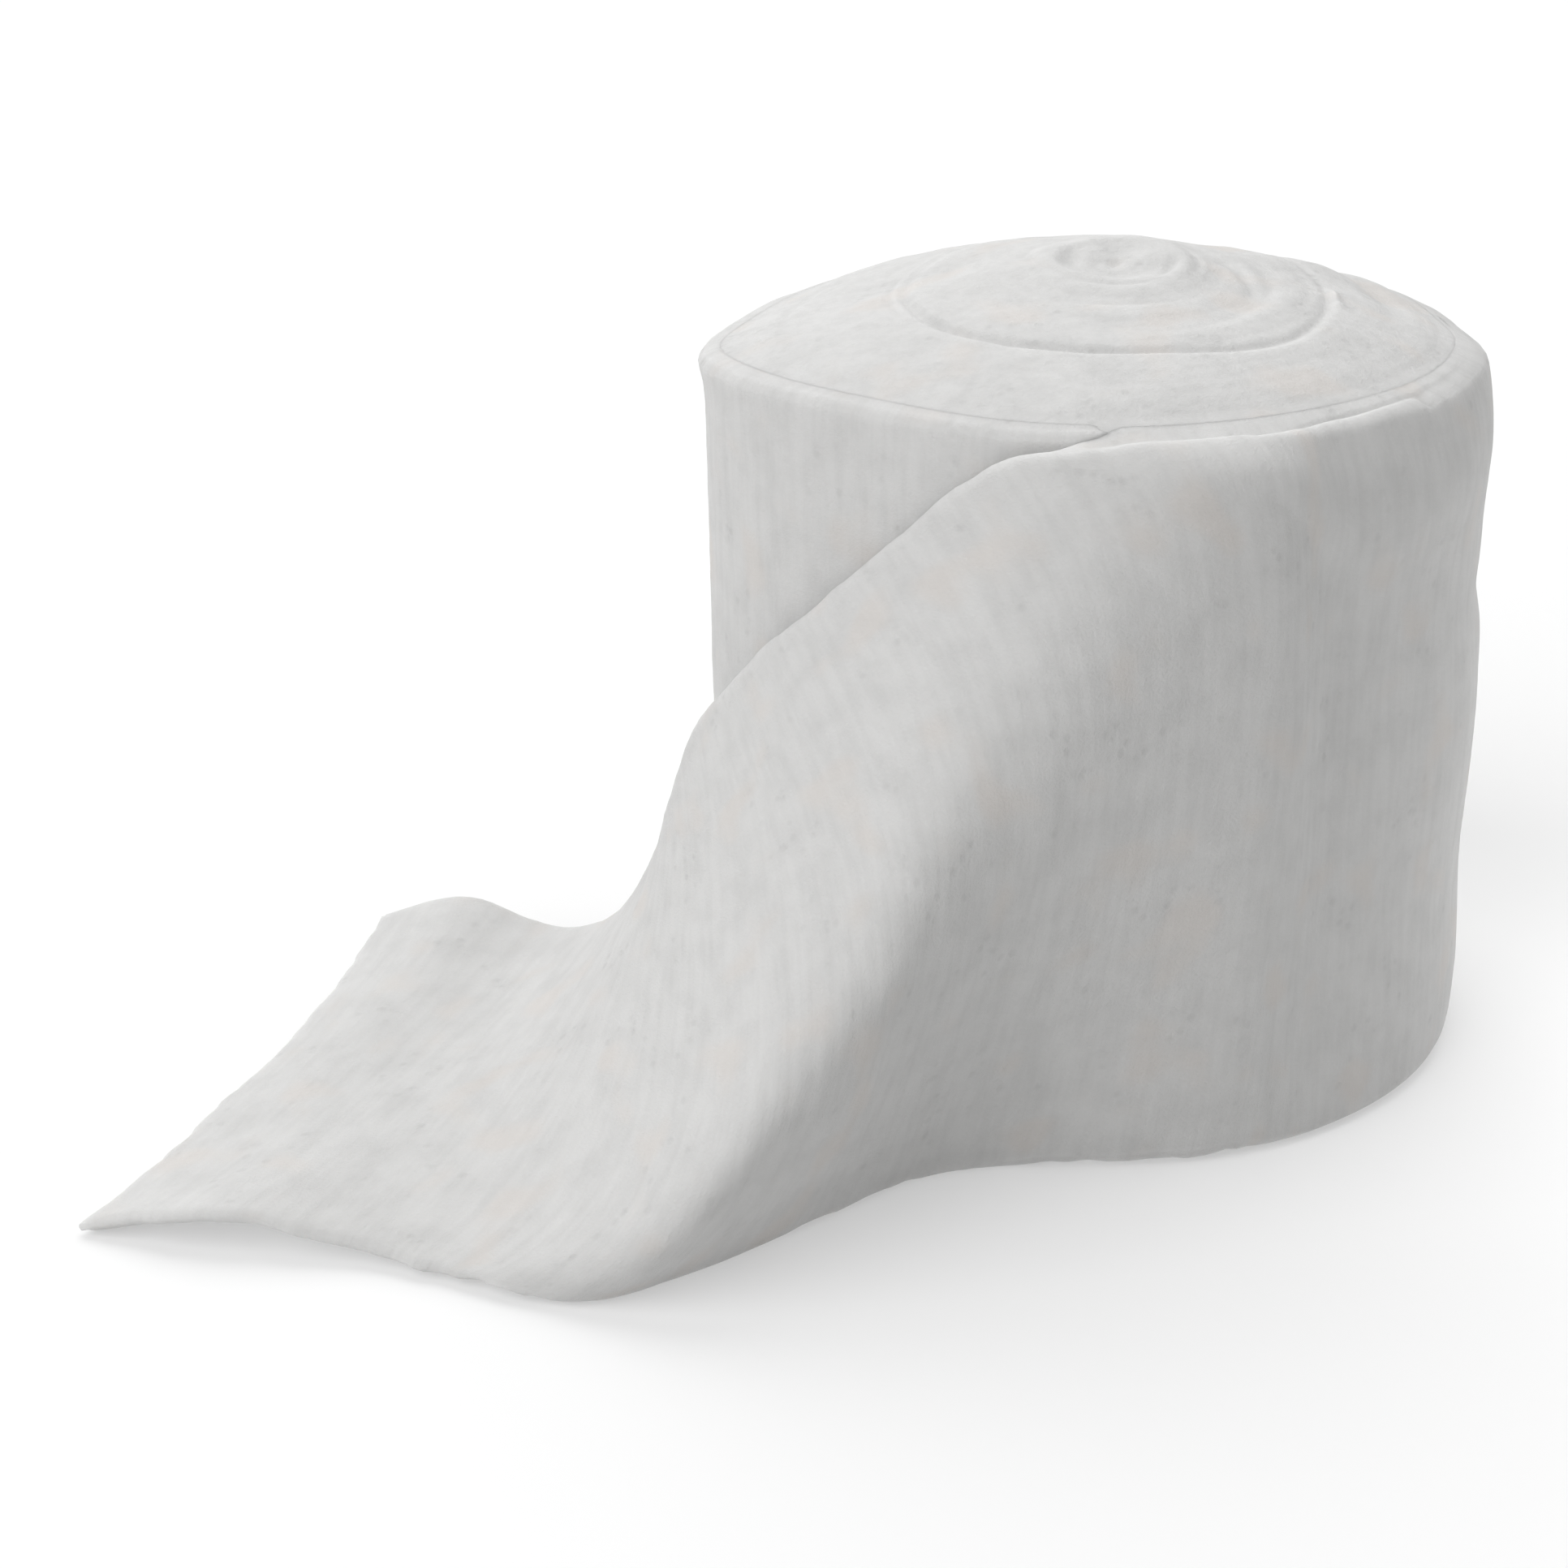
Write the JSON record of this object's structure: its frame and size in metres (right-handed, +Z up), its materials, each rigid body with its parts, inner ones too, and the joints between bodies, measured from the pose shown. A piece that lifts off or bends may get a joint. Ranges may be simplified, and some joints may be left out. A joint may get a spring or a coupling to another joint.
{
  "type": "cast padding roll",
  "caption": "Roll of soft undercast padding standing on end, its loose end peeled off the wall and laid on the surface.",
  "frame": {"origin": "middle of the roll's flat foot, on the surface that it stands on", "axes": "+Z up along the roll's winding axis; +X to the right in the picture's view, away from the loose end; +Y away from the viewer"},
  "size_m": [0.1934, 0.1422, 0.1135],
  "materials": {
    "padding": "soft matt off-white nonwoven felt"
  },
  "bodies": {
    "root": {"padding_roll": "padding"}
  },
  "joints": []
}
